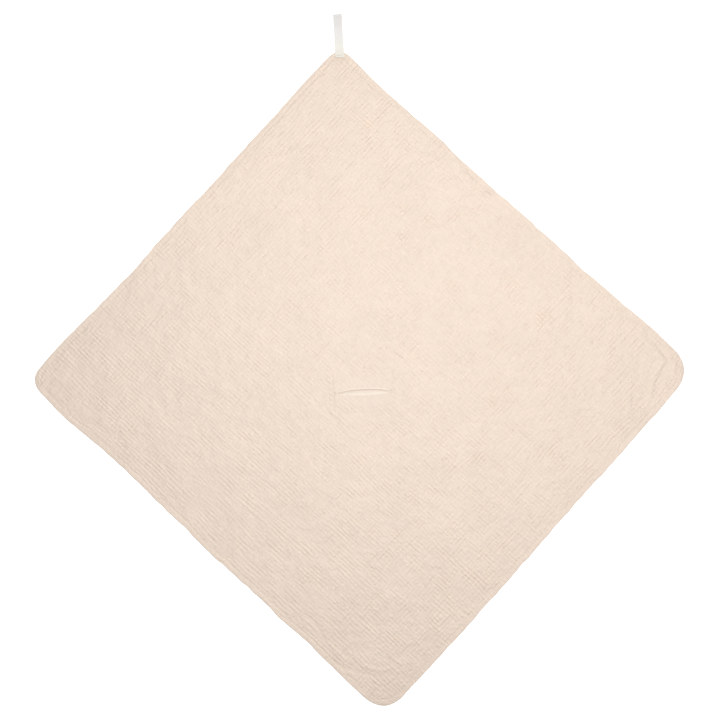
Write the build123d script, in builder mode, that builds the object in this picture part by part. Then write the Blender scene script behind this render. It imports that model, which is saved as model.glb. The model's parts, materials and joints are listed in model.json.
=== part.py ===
from build123d import *
import os

os.makedirs("parts", exist_ok=True)

# Hooded baby towel, spread flat with its outer face up and its hood underneath.
# +Y points to the hood corner, +X to the right-hand corner, +Z up, and z = 0 is the floor.
# It is a two-layer cloth, crinkled muslin over a terry lining, with a hood sewn into one corner,
# a hanging loop at that corner and a faced slit in the middle for a harness buckle.

# ---- The cloth, in millimetres ----
# Each corner is where two straight sides would meet, with the radius that rounds it.
HOOD_CORNER = (-13, 529)
RIGHT_CORNER = (568, -41)
FOOT_CORNER = (18, -607)
LEFT_CORNER = (-559.7, -11)
CORNER_RADII = {HOOD_CORNER: 24, RIGHT_CORNER: 47, FOOT_CORNER: 47, LEFT_CORNER: 27}

LINING_THICKNESS = 2.0
OUTER_THICKNESS = 1.2
THREAD_WIDTH = 0.8
THREAD_HEIGHT = 0.3
TOPSTITCH_INSET = 9.0

# ---- Fold lines ----
# Each corner of the cloth folds over along one line, clear of its neighbours when all are folded.
HOOD_FOLD_Y = 248
FOOT_FOLD_Y = -336
RIGHT_FOLD_X = 290
LEFT_FOLD_X = -304
FOLD_GAP = 0.3

# ---- The hood ----
# Its front edge is a shallow arc from side to side, deepest near the middle.
HOOD_EDGE_LEFT = (-290, 284)
HOOD_EDGE_MIDDLE = (-17, 265)
HOOD_EDGE_RIGHT = (256, 297)
HOOD_PANEL_THICKNESS = 1.2
HOOD_SEAM_INSET = 1.0
BINDING_THICKNESS = 0.5
BINDING_WIDTH = 9.0
HOOD_CLEARANCE = 0.3
RISE_START_Y = HOOD_FOLD_Y + 2
RISE_END_Y = HOOD_FOLD_Y + 12

# ---- The slit ----
SLIT_LEFT = (-41, -55.6)
SLIT_RIGHT = (50, -55.6)
SLIT_RISE = 4.8
SLIT_DROP = 3.2
SLIT_MIDDLE_X = (SLIT_LEFT[0] + SLIT_RIGHT[0]) / 2
SLIT_Y = SLIT_LEFT[1]
SLIT_TOP = (SLIT_MIDDLE_X, SLIT_Y + SLIT_RISE)
SLIT_BOTTOM = (SLIT_MIDDLE_X, SLIT_Y - SLIT_DROP)
LIP_WIDTH = 3.2
LIP_HEIGHT = 0.5
FACING_CENTRE = (4.2, -57.8)
FACING_WIDTH = 108
FACING_HEIGHT = 68
FACING_THICKNESS = 0.5
BOX_STITCH_MARGIN = 3.0
TACK_LENGTH = 7.0
TACK_WIDTH = 1.6
TACK_OFFSET = 1.7

# ---- The hanging loop ----
# One tape, doubled, sewn flat onto the hood corner; it leans a touch to the left.
TAPE_WIDTH = 15
TAPE_THICKNESS = 0.8
LOOP_BASE = (-9.7, 519.2)
LOOP_DIRECTION = Vector(-0.4, 67, 0).normalized()
LOOP_LENGTH = 67
LOOP_HEIGHT = 10.4
SEWN_END_LENGTH = 7
LOOP_TACK_LENGTH = 12
NOSE_RADIUS = 2.0
PRESSED_LENGTH = 8
EYE_START = 12

# ---- Heights worked out from the layers ----
LINING_TOP = LINING_THICKNESS
OUTER_TOP = LINING_TOP + OUTER_THICKNESS
HOOD_THICKNESS = HOOD_PANEL_THICKNESS + 2 * BINDING_THICKNESS
HOOD_LIFT = HOOD_THICKNESS + HOOD_CLEARANCE
RAISED_TOP = OUTER_TOP + HOOD_LIFT
TAPE_TOP = RAISED_TOP + 2 * TAPE_THICKNESS
REACH = 700
ABOVE_ALL = 30


def finish(part, name):
    """Names a finished piece and writes it to its own file."""
    part.label = name
    export_step(part, f"parts/{name}.step")


# ---- Shared outlines ----
with BuildSketch() as cloth_outline:
    with BuildLine():
        Polyline(*CORNER_RADII, close=True)
    make_face()
    for corner, radius in CORNER_RADII.items():
        sharp_corner = cloth_outline.vertices().sort_by_distance(corner)[0]
        fillet(sharp_corner, radius)

with BuildSketch() as topstitch_outline:
    offset(cloth_outline.sketch, amount=-TOPSTITCH_INSET)
    offset(cloth_outline.sketch, amount=-TOPSTITCH_INSET - THREAD_WIDTH, mode=Mode.SUBTRACT)

with BuildSketch() as slit_outline:
    with BuildLine():
        ThreePointArc(SLIT_LEFT, SLIT_TOP, SLIT_RIGHT)
        ThreePointArc(SLIT_RIGHT, SLIT_BOTTOM, SLIT_LEFT)
    make_face()

# The part of the cloth that each body keeps, as the low and high corner of a rectangle.
HALF_GAP = FOLD_GAP / 2
ZONES = {
    "centre": (
        (LEFT_FOLD_X + HALF_GAP, FOOT_FOLD_Y + HALF_GAP),
        (RIGHT_FOLD_X - HALF_GAP, HOOD_FOLD_Y - HALF_GAP),
    ),
    "hood_corner": ((-REACH, HOOD_FOLD_Y + HALF_GAP), (REACH, REACH)),
    "left_corner": ((-REACH, -REACH), (LEFT_FOLD_X - HALF_GAP, REACH)),
    "right_corner": ((RIGHT_FOLD_X + HALF_GAP, -REACH), (REACH, REACH)),
    "foot_corner": ((-REACH, -REACH), (REACH, FOOT_FOLD_Y - HALF_GAP)),
}


def keep_zone(zone):
    """Cuts the sketch that is being built down to one body's zone."""
    low, high = ZONES[zone]
    middle = ((low[0] + high[0]) / 2, (low[1] + high[1]) / 2)
    with Locations(middle):
        Rectangle(high[0] - low[0], high[1] - low[1], mode=Mode.INTERSECT)


def hood_area(shift):
    """The area behind the hood's front edge, with the edge moved towards the hood corner by shift."""
    left, middle, right = (
        (x, y + shift) for x, y in (HOOD_EDGE_LEFT, HOOD_EDGE_MIDDLE, HOOD_EDGE_RIGHT)
    )
    with BuildSketch(mode=Mode.PRIVATE) as area:
        with BuildLine():
            ThreePointArc(left, middle, right)
            Polyline(right, (right[0], REACH), (left[0], REACH), left)
        make_face()
    return area.sketch


# ---- The middle of the cloth ----
with BuildPart() as lining_centre:
    with BuildSketch():
        add(cloth_outline.sketch)
        keep_zone("centre")
    extrude(amount=LINING_THICKNESS)
    # The facing lies in a shallow seat in the top of the lining.
    with BuildSketch(Plane.XY.offset(LINING_TOP - FACING_THICKNESS)):
        with Locations(FACING_CENTRE):
            Rectangle(FACING_WIDTH, FACING_HEIGHT)
    extrude(amount=FACING_THICKNESS, mode=Mode.SUBTRACT)
    with BuildSketch():
        add(slit_outline.sketch)
    extrude(amount=LINING_THICKNESS, mode=Mode.SUBTRACT)
finish(lining_centre.part, "lining_centre")

with BuildPart() as outer_centre:
    with BuildSketch(Plane.XY.offset(LINING_TOP)):
        add(cloth_outline.sketch)
        keep_zone("centre")
        add(slit_outline.sketch, mode=Mode.SUBTRACT)
    extrude(amount=OUTER_THICKNESS)
finish(outer_centre.part, "outer_centre")

with BuildPart() as topstitch_centre:
    with BuildSketch(Plane.XY.offset(OUTER_TOP)):
        add(topstitch_outline.sketch)
        keep_zone("centre")
    extrude(amount=THREAD_HEIGHT)
finish(topstitch_centre.part, "topstitch_centre")

# ---- The slit: hidden facing, two turned lips, end tacks and a stitched box ----
with BuildPart() as slit_facing:
    with BuildSketch(Plane.XY.offset(LINING_TOP - FACING_THICKNESS)):
        with Locations(FACING_CENTRE):
            Rectangle(FACING_WIDTH, FACING_HEIGHT)
        add(slit_outline.sketch, mode=Mode.SUBTRACT)
    extrude(amount=FACING_THICKNESS)
finish(slit_facing.part, "slit_facing")

with BuildPart() as slit_upper_lip:
    with BuildSketch(Plane.XY.offset(OUTER_TOP)):
        with BuildLine():
            ThreePointArc(SLIT_LEFT, SLIT_TOP, SLIT_RIGHT)
            ThreePointArc(SLIT_RIGHT, (SLIT_TOP[0], SLIT_TOP[1] + LIP_WIDTH), SLIT_LEFT)
        make_face()
    extrude(amount=LIP_HEIGHT)
finish(slit_upper_lip.part, "slit_upper_lip")

with BuildPart() as slit_lower_lip:
    with BuildSketch(Plane.XY.offset(OUTER_TOP)):
        with BuildLine():
            ThreePointArc(SLIT_LEFT, SLIT_BOTTOM, SLIT_RIGHT)
            ThreePointArc(SLIT_RIGHT, (SLIT_BOTTOM[0], SLIT_BOTTOM[1] - LIP_WIDTH), SLIT_LEFT)
        make_face()
    extrude(amount=LIP_HEIGHT)
finish(slit_lower_lip.part, "slit_lower_lip")

with BuildPart() as slit_end_tacks:
    with BuildSketch(Plane.XY.offset(OUTER_TOP)):
        with Locations((SLIT_LEFT[0] - TACK_OFFSET, SLIT_Y), (SLIT_RIGHT[0] + TACK_OFFSET, SLIT_Y)):
            Rectangle(TACK_WIDTH, TACK_LENGTH)
    extrude(amount=LIP_HEIGHT)
finish(slit_end_tacks.part, "slit_end_tacks")

with BuildPart() as slit_box_stitch:
    with BuildSketch(Plane.XY.offset(OUTER_TOP)):
        with Locations(FACING_CENTRE):
            stitch_width = FACING_WIDTH - 2 * BOX_STITCH_MARGIN
            stitch_height = FACING_HEIGHT - 2 * BOX_STITCH_MARGIN
            Rectangle(stitch_width, stitch_height)
            inner_width = stitch_width - 2 * THREAD_WIDTH
            inner_height = stitch_height - 2 * THREAD_WIDTH
            Rectangle(inner_width, inner_height, mode=Mode.SUBTRACT)
    extrude(amount=THREAD_HEIGHT)
finish(slit_box_stitch.part, "slit_box_stitch")

# ---- The three plain corners, each with its lining, outer cloth and topstitch ----
FLAT_LAYERS = {
    "lining": (cloth_outline, 0, LINING_THICKNESS),
    "outer": (cloth_outline, LINING_TOP, OUTER_THICKNESS),
    "topstitch": (topstitch_outline, OUTER_TOP, THREAD_HEIGHT),
}
for zone in ("left_corner", "right_corner", "foot_corner"):
    for layer, (outline, base, thickness) in FLAT_LAYERS.items():
        with BuildPart() as corner_layer:
            with BuildSketch(Plane.XY.offset(base)):
                add(outline.sketch)
                keep_zone(zone)
            extrude(amount=thickness)
        finish(corner_layer.part, f"{layer}_{zone}")

# ---- The hood corner: the same three layers, which rise over the hood that lies under them ----
for layer, (outline, base, thickness) in FLAT_LAYERS.items():
    with BuildPart() as raised_layer:
        with BuildSketch(Plane.YZ):
            with BuildLine():
                Polyline(
                    (HOOD_FOLD_Y, base),
                    (RISE_START_Y, base),
                    (RISE_END_Y, base + HOOD_LIFT),
                    (REACH, base + HOOD_LIFT),
                    (REACH, base + HOOD_LIFT + thickness),
                    (RISE_END_Y, base + HOOD_LIFT + thickness),
                    (RISE_START_Y, base + thickness),
                    (HOOD_FOLD_Y, base + thickness),
                    close=True,
                )
            make_face()
        extrude(amount=REACH, both=True)
        with BuildSketch():
            add(outline.sketch)
            keep_zone("hood_corner")
        extrude(amount=ABOVE_ALL, mode=Mode.INTERSECT)
    finish(raised_layer.part, f"{layer}_hood_corner")

# ---- The hood: a muslin panel with a folded binding over its front edge ----
with BuildPart() as hood_panel:
    with BuildSketch(Plane.XY.offset(BINDING_THICKNESS)):
        offset(cloth_outline.sketch, amount=-HOOD_SEAM_INSET)
        add(hood_area(0), mode=Mode.INTERSECT)
    extrude(amount=HOOD_PANEL_THICKNESS)
finish(hood_panel.part, "hood_panel")

with BuildPart() as hood_binding:
    with BuildSketch():
        offset(cloth_outline.sketch, amount=-HOOD_SEAM_INSET)
        add(hood_area(-BINDING_THICKNESS), mode=Mode.INTERSECT)
        add(hood_area(BINDING_WIDTH), mode=Mode.SUBTRACT)
    extrude(amount=HOOD_THICKNESS)
    with BuildSketch(Plane.XY.offset(BINDING_THICKNESS)):
        add(hood_area(0))
    extrude(amount=HOOD_PANEL_THICKNESS, mode=Mode.SUBTRACT)
finish(hood_binding.part, "hood_binding")

# ---- The hanging loop ----
def along_tape(distance, height=0):
    """A point on the tape's middle line, at a distance past the fold where the loop is sewn."""
    return Vector(*LOOP_BASE, height) + LOOP_DIRECTION * distance


with BuildPart() as loop_sewn_end:
    with BuildSketch(Plane(origin=along_tape(0, RAISED_TOP), x_dir=LOOP_DIRECTION)):
        with Locations((-HALF_GAP - SEWN_END_LENGTH / 2, 0)):
            Rectangle(SEWN_END_LENGTH, TAPE_WIDTH)
    extrude(amount=2 * TAPE_THICKNESS)
finish(loop_sewn_end.part, "loop_sewn_end")

with BuildPart() as loop_tack:
    with BuildSketch(Plane(origin=along_tape(0, TAPE_TOP), x_dir=LOOP_DIRECTION)):
        with Locations((-SEWN_END_LENGTH / 2, 0)):
            Rectangle(TACK_WIDTH, LOOP_TACK_LENGTH)
    extrude(amount=THREAD_HEIGHT)
finish(loop_tack.part, "loop_tack")

# Side view of the doubled tape: it slopes from the hood corner to the floor, and its upper
# run arches over the eye that a hook goes through.
LOOP_ACROSS = LOOP_DIRECTION.cross(Vector(0, 0, 1))
NOSE_START = LOOP_LENGTH - NOSE_RADIUS
FLOOR_SLOPE = RAISED_TOP / NOSE_START


def underside(distance):
    """Height of the tape's lower run above the floor."""
    return RAISED_TOP - FLOOR_SLOPE * distance


with BuildPart() as hanging_loop:
    with BuildSketch(Plane(origin=along_tape(0), x_dir=LOOP_DIRECTION, z_dir=LOOP_ACROSS)):
        with BuildLine():
            pressed_end = (PRESSED_LENGTH, underside(PRESSED_LENGTH) + 2 * TAPE_THICKNESS)
            start_bottom = (HALF_GAP, underside(HALF_GAP))
            start_top = (HALF_GAP, underside(HALF_GAP) + 2 * TAPE_THICKNESS)
            Line(start_top, start_bottom)
            Line(start_bottom, (NOSE_START, 0))
            ThreePointArc((NOSE_START, 0), (LOOP_LENGTH, NOSE_RADIUS), (NOSE_START, 2 * NOSE_RADIUS))
            ThreePointArc((NOSE_START, 2 * NOSE_RADIUS), (LOOP_LENGTH / 2, LOOP_HEIGHT), pressed_end)
            Line(pressed_end, start_top)
        make_face()
        with BuildLine():
            eye_start = (EYE_START, underside(EYE_START) + TAPE_THICKNESS)
            eye_low = (NOSE_START, TAPE_THICKNESS)
            eye_end = (LOOP_LENGTH - TAPE_THICKNESS, NOSE_RADIUS)
            eye_high = (NOSE_START, 2 * NOSE_RADIUS - TAPE_THICKNESS)
            Line(eye_start, eye_low)
            ThreePointArc(eye_low, eye_end, eye_high)
            ThreePointArc(eye_high, (LOOP_LENGTH / 2, LOOP_HEIGHT - TAPE_THICKNESS), eye_start)
        make_face(mode=Mode.SUBTRACT)
    extrude(amount=TAPE_WIDTH / 2, both=True)
finish(hanging_loop.part, "hanging_loop")
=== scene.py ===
"""Hooded baby towel, spread flat with its crinkled outer face up, for Blender 4.5. Metres."""
import json
import math

import bpy
import numpy as np
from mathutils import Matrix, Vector


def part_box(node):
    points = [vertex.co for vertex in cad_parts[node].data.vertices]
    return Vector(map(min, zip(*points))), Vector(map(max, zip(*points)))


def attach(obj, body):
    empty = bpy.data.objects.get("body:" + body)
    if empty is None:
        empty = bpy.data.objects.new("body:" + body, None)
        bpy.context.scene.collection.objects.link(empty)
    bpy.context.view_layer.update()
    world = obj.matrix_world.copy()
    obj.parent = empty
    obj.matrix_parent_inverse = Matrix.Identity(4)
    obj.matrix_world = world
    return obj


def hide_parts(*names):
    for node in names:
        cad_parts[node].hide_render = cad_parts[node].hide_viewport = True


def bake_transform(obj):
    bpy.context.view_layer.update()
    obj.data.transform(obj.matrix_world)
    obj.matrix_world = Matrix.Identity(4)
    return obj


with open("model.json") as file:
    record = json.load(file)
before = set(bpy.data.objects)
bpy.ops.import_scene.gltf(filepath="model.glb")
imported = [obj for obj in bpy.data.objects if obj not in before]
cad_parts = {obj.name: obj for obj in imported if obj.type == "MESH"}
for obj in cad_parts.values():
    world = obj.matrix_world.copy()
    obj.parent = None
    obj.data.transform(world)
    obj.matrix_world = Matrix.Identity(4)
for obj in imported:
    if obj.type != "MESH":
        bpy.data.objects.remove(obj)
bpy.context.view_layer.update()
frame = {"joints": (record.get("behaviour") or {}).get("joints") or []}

MM = 0.001
JOINTS = {joint["name"]: joint for joint in frame["joints"]}
FLOOR = "floor"
ACROSS = math.pi / 2  # the direction of b, as an angle from a


def node_box(name):
    """A CAD node's lowest and highest corner at rest."""
    return [np.array(corner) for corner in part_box(name)]


def unit(vectors):
    """Vectors, one in each row, at length one."""
    return vectors / np.linalg.norm(vectors, axis=1, keepdims=True)


def distance_along(points):
    """How far each point of a polyline lies along it."""
    return np.concatenate(([0], np.cumsum(np.linalg.norm(np.diff(points, axis=0), axis=1))))


def smooth_step(x, start, end):
    t = np.clip((x - start) / (end - start), 0, 1)
    return t * t * (3 - 2 * t)


# ---- The cut of the cloth, as the CAD has it: where the straight sides would meet ----
HOOD_TIP = np.array((-13.0, 529.0)) * MM
RIGHT_TIP = np.array((568.0, -41.0)) * MM
FOOT_TIP = np.array((18.0, -607.0)) * MM
LEFT_TIP = np.array((-559.7, -11.0)) * MM

# The cloth's own directions: a runs from the upper left side to the lower right side,
# b from the lower left side to the upper right side. Both go from 0 to 1.
LENGTH_A = (np.linalg.norm(RIGHT_TIP - HOOD_TIP) + np.linalg.norm(FOOT_TIP - LEFT_TIP)) / 2
LENGTH_B = (np.linalg.norm(HOOD_TIP - LEFT_TIP) + np.linalg.norm(RIGHT_TIP - FOOT_TIP)) / 2

# ---- Heights and places read from the frame ----
FLAT_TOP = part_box("outer_centre")[1][2]
HOOD_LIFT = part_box("outer_hood_corner")[1][2] - FLAT_TOP
SLIT_LOW, SLIT_HIGH = node_box("slit_upper_lip")
BOX_LOW, BOX_HIGH = node_box("slit_box_stitch")
BINDING_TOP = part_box("hood_binding")[1][2]

OUTER_CELL = 1.3 * MM
LINING_CELL = 2.3 * MM
EDGE_ROUND = 1.4 * MM
INSET_A, INSET_B = EDGE_ROUND / LENGTH_A, EDGE_ROUND / LENGTH_B
TOPSTITCH_INSET = 9.4 * MM

# ==== Where a point of the cloth lies ====
QUARTERS = ("hood", "right", "foot", "left")
# The a, the b and the rounding radius of the corner of each quarter.
CORNERS = ((0, 1, 24 * MM), (1, 1, 47 * MM), (1, 0, 47 * MM), (0, 0, 27 * MM))


def bilinear(a, b):
    """Plan position of cloth coordinates, were the corners square."""
    a, b = np.asarray(a, float)[..., None], np.asarray(b, float)[..., None]
    upper = HOOD_TIP * (1 - a) + RIGHT_TIP * a
    lower = LEFT_TIP * (1 - a) + FOOT_TIP * a
    return upper * b + lower * (1 - b)


def squeeze_corners(a, b, squeeze):
    """Runs squeeze over each corner's square, in shares of its radius from the radius's centre."""
    for corner_a, corner_b, radius in CORNERS:
        from_a = np.abs(a - corner_a) * LENGTH_A
        from_b = np.abs(b - corner_b) * LENGTH_B
        inside = (from_a < radius) & (from_b < radius)
        p = np.where(inside, 1 - from_a / radius, 0)
        q = np.where(inside, 1 - from_b / radius, 0)
        p, q = squeeze(p, q)
        a = np.where(inside, np.abs(corner_a - radius * (1 - p) / LENGTH_A), a)
        b = np.where(inside, np.abs(corner_b - radius * (1 - q) / LENGTH_B), b)
    return a, b


def to_disc(p, q):
    """Squeezes a unit square into a unit disc."""
    return p * np.sqrt(1 - q * q / 2), q * np.sqrt(1 - p * p / 2)


def to_square(u, v):
    """Undoes to_disc."""

    def share(this, other):
        base, root = 2 + this * this - other * other, 2 * math.sqrt(2) * this
        wide, narrow = (np.sqrt(np.clip(value, 0, None)) for value in (base + root, base - root))
        return np.clip((wide - narrow) / 2, 0, 1)

    return share(u, v), share(v, u)


def place(a, b):
    """Plan position of cloth coordinates, with the four corners rounded."""
    return bilinear(*squeeze_corners(np.asarray(a, float), np.asarray(b, float), to_disc))


def cloth_coordinates(xy):
    """Cloth coordinates of plan positions, found by a few Newton steps."""
    xy = np.asarray(xy, float)
    a = np.full(xy.shape[:-1], 0.5)
    b = np.full(xy.shape[:-1], 0.5)
    for _ in range(6):
        share_a, share_b = a[..., None], b[..., None]
        along_a = (RIGHT_TIP - HOOD_TIP) * share_b + (FOOT_TIP - LEFT_TIP) * (1 - share_b)
        along_b = (HOOD_TIP - LEFT_TIP) * (1 - share_a) + (RIGHT_TIP - FOOT_TIP) * share_a
        miss = xy - bilinear(a, b)
        area = along_a[..., 0] * along_b[..., 1] - along_a[..., 1] * along_b[..., 0]
        step_a = (miss[..., 0] * along_b[..., 1] - miss[..., 1] * along_b[..., 0]) / area
        step_b = (along_a[..., 0] * miss[..., 1] - along_a[..., 1] * miss[..., 0]) / area
        a, b = a + step_a, b + step_b
    return squeeze_corners(a, b, to_square)


def edge_distance(a, b):
    """Distance of cloth coordinates from the cloth's rounded outline."""
    a, b = squeeze_corners(np.asarray(a, float), np.asarray(b, float), to_disc)
    from_a = np.minimum(a, 1 - a) * LENGTH_A
    from_b = np.minimum(b, 1 - b) * LENGTH_B
    distance = np.minimum(from_a, from_b)
    for corner_a, corner_b, radius in CORNERS:
        in_a = radius - np.abs(a - corner_a) * LENGTH_A
        in_b = radius - np.abs(b - corner_b) * LENGTH_B
        inside = (in_a > 0) & (in_b > 0)
        distance = np.where(inside, radius - np.hypot(in_a, in_b), distance)
    return np.clip(distance, 0, None)


# ---- The hood's front edge: an arc through the binding's lowest point and its two ends ----
def arc_through(left, middle, right):
    """Centre and radius of the circle through three plan points."""
    (x1, y1), (x2, y2), (x3, y3) = left, middle, right
    system = 2 * np.array(((x2 - x1, y2 - y1), (x3 - x1, y3 - y1)))
    values = np.array((x2**2 - x1**2 + y2**2 - y1**2, x3**2 - x1**2 + y3**2 - y1**2))
    centre = np.linalg.solve(system, values)
    return centre, float(np.hypot(*(centre - np.array(left))))


HOOD_ARC_CENTRE, HOOD_ARC_RADIUS = arc_through(
    np.array((-290, 284)) * MM, np.array((-17, 265)) * MM, np.array((256, 297)) * MM
)


def behind_hood_edge(x, y):
    """Distance from the hood's front edge, positive on the hood's side."""
    return HOOD_ARC_RADIUS - np.hypot(x - HOOD_ARC_CENTRE[0], y - HOOD_ARC_CENTRE[1])


# ---- The slit: both its edges bow away from the line between its ends ----
SLIT_LEFT_X, SLIT_RIGHT_X = SLIT_LOW[0], SLIT_HIGH[0]
SLIT_MIDDLE_X = (SLIT_LEFT_X + SLIT_RIGHT_X) / 2
SLIT_HALF = (SLIT_RIGHT_X - SLIT_LEFT_X) / 2
SLIT_Y = SLIT_LOW[1]
SLIT_RISE = 4.8 * MM
SLIT_DROP = 3.2 * MM


def slit_edges(x):
    """The opening's lower and upper edge in plan; flat in the middle and steep at the ends."""
    share = np.clip(1 - np.abs((x - SLIT_MIDDLE_X) / SLIT_HALF) ** 2.6, 0, None)
    return SLIT_Y - SLIT_DROP * share, SLIT_Y + SLIT_RISE * share


def in_slit(x, y, margin=0.0):
    low, high = slit_edges(x)
    return (y > low + margin) & (y < high - margin) & (high - low > 4 * margin)


def inside_box(x, y, low, high):
    """How far inside a box in plan, negative outside it."""
    inside_x = np.minimum(x - low[0], high[0] - x)
    return np.minimum(inside_x, np.minimum(y - low[1], high[1] - y))


# ==== Wrinkles ====
def wrinkle_noise(seed, shape, cell, pitch, spread, direction=0.0, turn=None):
    """Smooth random waves of about one pitch. direction is the way they repeat, in radians from a;
    turn is how far it strays, or None where they run every way."""
    rows, columns = shape
    white = np.random.RandomState(seed).standard_normal(shape)
    frequency_b = np.fft.fftfreq(rows, cell)[:, None]
    frequency_a = np.fft.rfftfreq(columns, cell)[None, :]
    frequency = np.hypot(frequency_a, frequency_b)
    frequency[0, 0] = 1e-6
    gain = np.exp(-((np.log(frequency * pitch) / spread) ** 2) / 2)
    if turn is not None:
        angle = np.arctan2(frequency_b, frequency_a) - direction
        angle = np.abs((angle + math.pi / 2) % math.pi - math.pi / 2)
        gain = gain * np.exp(-((angle / turn) ** 2) / 2)
    waves = np.fft.irfft2(np.fft.rfft2(white) * gain, s=shape)
    return waves / waves.std()


def crease(x, y, route, width, height):
    """A ridge (or a valley, where height is negative) along a route of plan points in millimetres."""
    points = np.array(route, float) * MM
    nearest = np.full(x.shape, 1e9)
    share = np.zeros(x.shape)
    lengths = np.linalg.norm(np.diff(points, axis=0), axis=1)
    total = lengths.sum()
    walked = 0.0
    for start, end, length in zip(points[:-1], points[1:], lengths):
        direction = (end - start) / length
        t = np.clip((x - start[0]) * direction[0] + (y - start[1]) * direction[1], 0, length)
        away = np.hypot(x - start[0] - t * direction[0], y - start[1] - t * direction[1])
        closer = away < nearest
        nearest = np.where(closer, away, nearest)
        share = np.where(closer, (walked + t) / total, share)
        walked += length
    fade = np.clip(np.sin(math.pi * np.clip(share, 0.001, 0.999)), 0, 1) ** 0.6
    return height * MM * fade * np.exp(-((nearest / (width * MM)) ** 2))


# Folds left from packing and from the sewing: a route in plan, a width and a height, in
# millimetres. CREASE_GAIN multiplies all the heights.
CREASE_GAIN = 1.6
CREASES = (
    # beside the end of the hood's front edge
    (((146, 356), (163, 335), (178, 309), (197, 285), (205, 268)), 2.6, -1.3),
    (((152, 362), (174, 338), (190, 310), (208, 292)), 3.0, 1.0),
    (((170, 352), (186, 330), (204, 306), (222, 286)), 2.6, -0.8),
    (((134, 352), (148, 330), (160, 318)), 2.6, 0.7),
    # along the upper right side
    (((38, 470), (56, 452), (70, 441)), 2.4, -0.7),
    (((66, 452), (86, 428), (104, 412), (120, 398)), 2.6, -0.9),
    (((60, 440), (84, 418), (98, 402)), 3.2, 0.6),
    (((118, 404), (136, 384), (146, 372)), 2.6, -0.7),
    # the right-hand corner, where the cloth was folded in its pack
    (((470, 30), (486, 10), (505, -8), (516, -26), (500, -52), (490, -84), (478, -112)), 4.0, 1.5),
    (((478, 36), (497, 12), (516, -10), (528, -30), (512, -56), (502, -86)), 3.2, -1.2),
    (((452, -20), (458, -62), (452, -104), (440, -140)), 5.0, 0.8),
    (((520, -10), (536, -30), (530, -52)), 3.0, 0.9),
    (((470, -128), (452, -150), (430, -172)), 3.0, -0.6),
    (((494, 26), (510, 4), (524, -24), (508, -50), (496, -78), (482, -100)), 8.0, -0.8),
    # the lower left side and the foot
    (((-118, -420), (-96, -442), (-78, -470), (-58, -488)), 3.2, -1.3),
    (((-104, -436), (-82, -462), (-60, -494), (-34, -516)), 3.6, 1.2),
    (((-74, -502), (-50, -520), (-22, -530), (6, -540)), 3.0, -1.1),
    (((-34, -500), (-12, -520), (14, -528), (38, -524)), 3.4, 0.9),
    (((-10, -548), (14, -556), (36, -548)), 3.0, -0.8),
    (((26, -500), (44, -516), (62, -520)), 3.0, 0.7),
    # pulls around the slit
    (((-47, -20), (-46.5, -60), (-47.5, -98)), 1.6, -0.9),
    (((-51, -22), (-50.5, -60), (-51.5, -92)), 1.8, 0.6),
    (((-66, -72), (-54, -90), (-38, -108)), 2.4, -1.1),
    (((-58, -76), (-44, -96), (-30, -108)), 2.2, 0.7),
    (((-86, -58), (-70, -80), (-54, -98)), 2.6, -0.6),
    (((9, -58), (8.5, -68), (8, -78)), 1.5, -0.7),
    (((-6, -84), (4, -92), (18, -90)), 2.0, -0.6),
    (((40, -86), (56, -100), (76, -108)), 2.4, -0.8),
    (((52, -80), (68, -96), (86, -104)), 2.2, 0.6),
    (((2, 52), (30, 30), (62, 4), (88, -22)), 2.6, -0.9),
    (((22, 50), (50, 26), (80, -2), (104, -26)), 2.6, 0.6),
    (((30, 62), (64, 30), (96, 0), (116, -20)), 2.4, -0.7),
    (((-6, 30), (20, 8), (44, -14)), 2.4, -0.5),
)

# Long thin creases where the gauze layers are drawn together: a seed, a pitch in millimetres, the
# direction in which they repeat and a depth in millimetres.
CREASE_NETS = (
    (61, 24, ACROSS, 0.58),
    (62, 26, 0.0, 0.82),
    (63, 15, ACROSS, 0.30),
    (64, 16, 0.0, 0.46),
)

# A groove deeper than DEEP_FROM is flattened, and never goes deeper than DEEP_ROOM below that.
DEEP_FROM = 0.9 * MM
DEEP_ROOM = 0.7 * MM
# How wide the grooves under the stitching are, and the puckers beside the topstitching.
GROOVE_WIDTH = 1.2 * MM
BOX_GROOVE_WIDTH = 1.3 * MM
PUCKER_WIDTH = 6 * MM


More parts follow.
